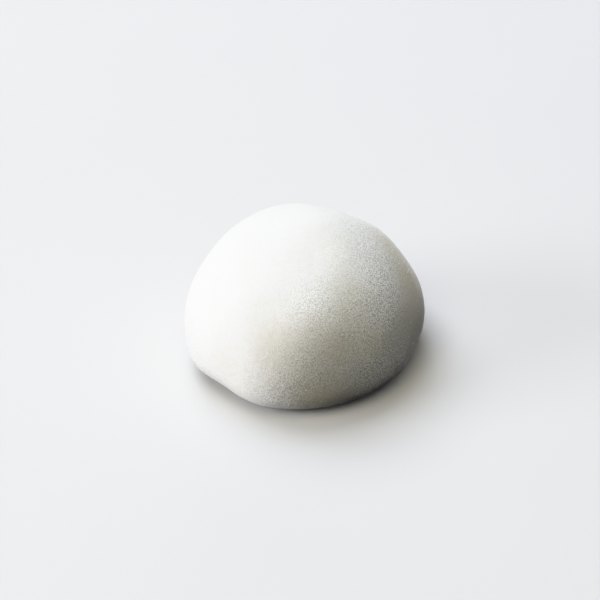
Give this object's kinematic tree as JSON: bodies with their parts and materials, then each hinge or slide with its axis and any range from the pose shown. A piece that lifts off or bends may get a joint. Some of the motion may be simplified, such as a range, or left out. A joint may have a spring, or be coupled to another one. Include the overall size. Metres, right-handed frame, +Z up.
{
  "type": "mochi rice cake",
  "caption": "Plump round mochi rice cake, uncut, a soft dome of matt white rice dough settled on a small flat base, dusted with fine starch.",
  "frame": {"origin": "middle of the footprint's bounding box, on the plane the rice cake rests on", "axes": "+Z up out of the crown, +X to the viewer's right and -Y towards the viewer when the shown side is seen"},
  "size_m": [0.0556, 0.056, 0.036],
  "materials": {
    "dough": "soft matt white rice dough, slightly translucent, with a fine dusting of starch"
  },
  "bodies": {
    "root": {"mochi": "dough"}
  },
  "joints": []
}
